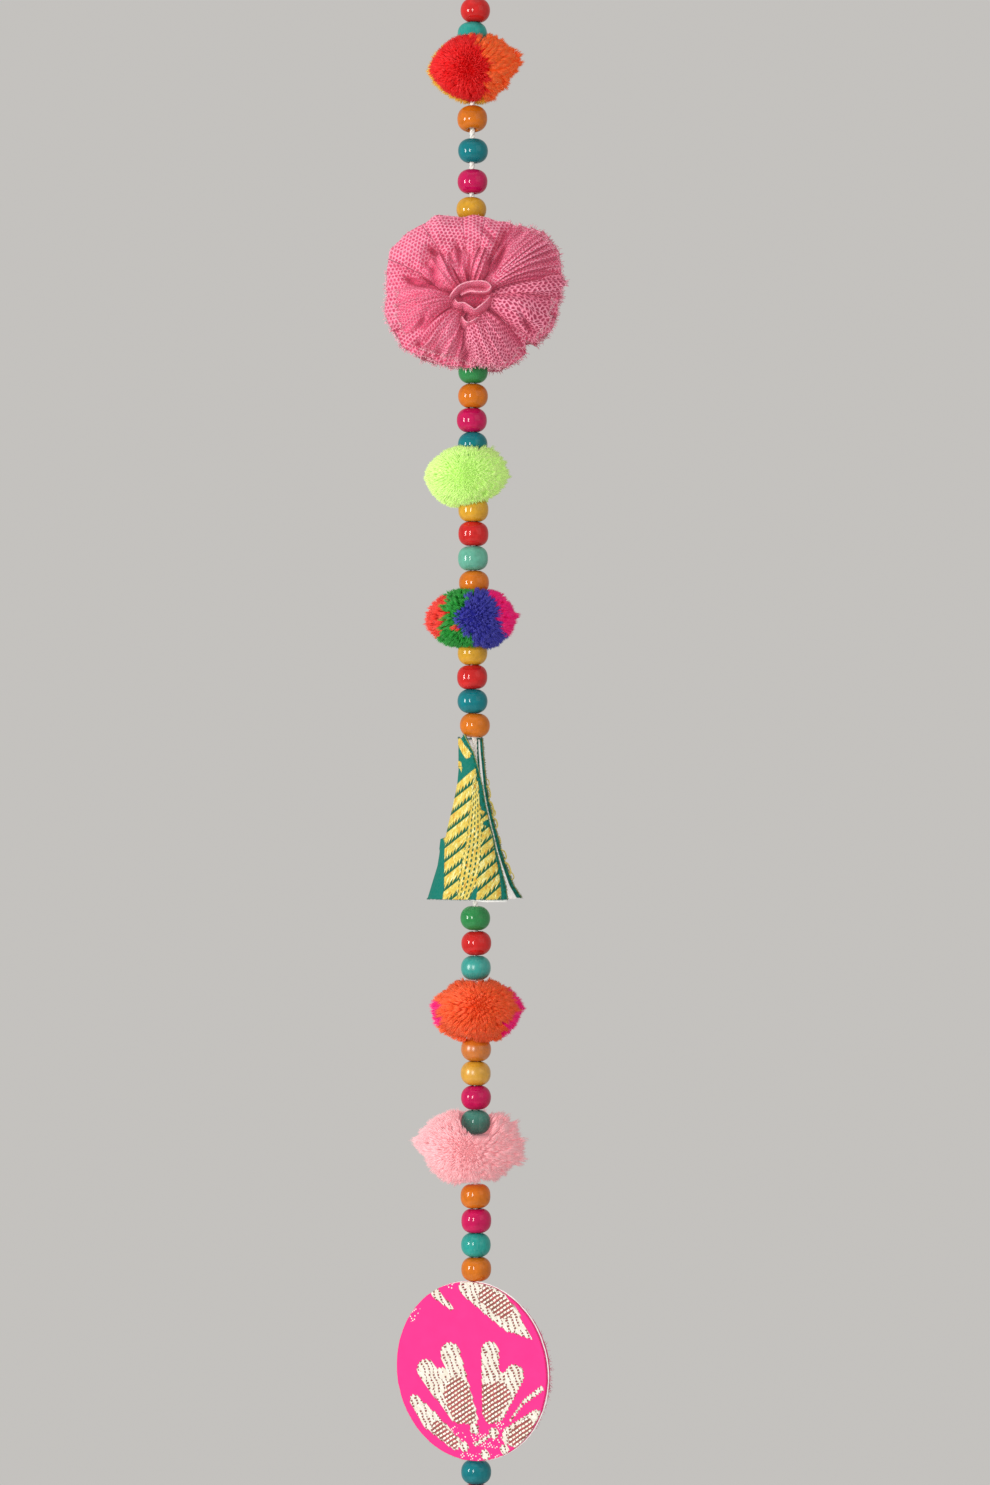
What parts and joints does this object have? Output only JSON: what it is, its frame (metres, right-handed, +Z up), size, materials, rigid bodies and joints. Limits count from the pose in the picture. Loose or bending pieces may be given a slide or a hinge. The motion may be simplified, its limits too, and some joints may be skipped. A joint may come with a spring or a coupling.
{
  "type": "pom-pom garland",
  "caption": "Hanging garland of painted wooden beads, yarn pompoms, a gathered net pom, a brocade cone and a round brocade disc on one cotton cord.",
  "frame": {"origin": "top of the hanging loop, where a hook or nail holds it", "axes": "+Z up along the garland, +X to the viewer's right, +Y away from the viewer"},
  "size_m": [0.0588, 0.0381, 0.5652],
  "materials": {
    "paint_red": "glossy paint on turned wood",
    "paint_turquoise": "glossy paint on turned wood",
    "paint_orange": "glossy paint on turned wood",
    "paint_dark_teal": "glossy paint on turned wood",
    "paint_magenta": "glossy paint on turned wood",
    "paint_yellow": "glossy paint on turned wood",
    "paint_green": "glossy paint on turned wood",
    "paint_mint": "glossy paint on turned wood",
    "paint_amber": "glossy paint on turned wood",
    "paint_grey_teal": "glossy paint on turned wood",
    "yarn_scarlet": "cut fluffy yarn",
    "yarn_lime": "cut fluffy yarn",
    "yarn_violet": "cut fluffy yarn",
    "yarn_flame": "cut fluffy yarn",
    "yarn_pale_pink": "cut fluffy yarn",
    "net": "soft gathered net",
    "cone_cloth": "brocade, teal ground with yellow leaf",
    "cone_lining": "plain white cloth",
    "disc_front_cloth": "satin brocade with metallic threads",
    "disc_card": "plain white card",
    "disc_back_cloth": "satin brocade, back side",
    "cotton": "twisted white cotton"
  },
  "bodies": {
    "root": {"bead_01_red": "paint_red", "bead_02_turquoise": "paint_turquoise", "bead_03_orange": "paint_orange", "bead_04_dark_teal": "paint_dark_teal", "bead_05_magenta": "paint_magenta", "bead_06_yellow": "paint_yellow", "bead_07_green": "paint_green", "bead_08_orange": "paint_orange", "bead_09_magenta": "paint_magenta", "bead_10_dark_teal": "paint_dark_teal", "bead_11_yellow": "paint_yellow", "bead_12_red": "paint_red", "bead_13_mint": "paint_mint", "bead_14_orange": "paint_orange", "bead_15_yellow": "paint_yellow", "bead_16_red": "paint_red", "bead_17_dark_teal": "paint_dark_teal", "bead_18_orange": "paint_orange", "bead_19_green": "paint_green", "bead_20_red": "paint_red", "bead_21_turquoise": "paint_turquoise", "bead_22_amber": "paint_amber", "bead_23_yellow": "paint_yellow", "bead_24_magenta": "paint_magenta", "bead_25_grey_teal": "paint_grey_teal", "bead_26_orange": "paint_orange", "bead_27_magenta": "paint_magenta", "bead_28_turquoise": "paint_turquoise", "bead_29_orange": "paint_orange", "bead_30_dark_teal": "paint_dark_teal", "bead_31_red": "paint_red", "pompom_red_orange": "yarn_scarlet", "pompom_lime": "yarn_lime", "pompom_four_colours": "yarn_violet", "pompom_orange": "yarn_flame", "pompom_pale_pink": "yarn_pale_pink", "net_pom": "net", "cone_cloth": "cone_cloth", "cone_lining": "cone_lining", "disc_front_cloth": "disc_front_cloth", "disc_card": "disc_card", "disc_back_cloth": "disc_back_cloth", "hanging_loop": "cotton", "stringing_cord": "cotton", "end_knot": "cotton"}
  },
  "joints": []
}
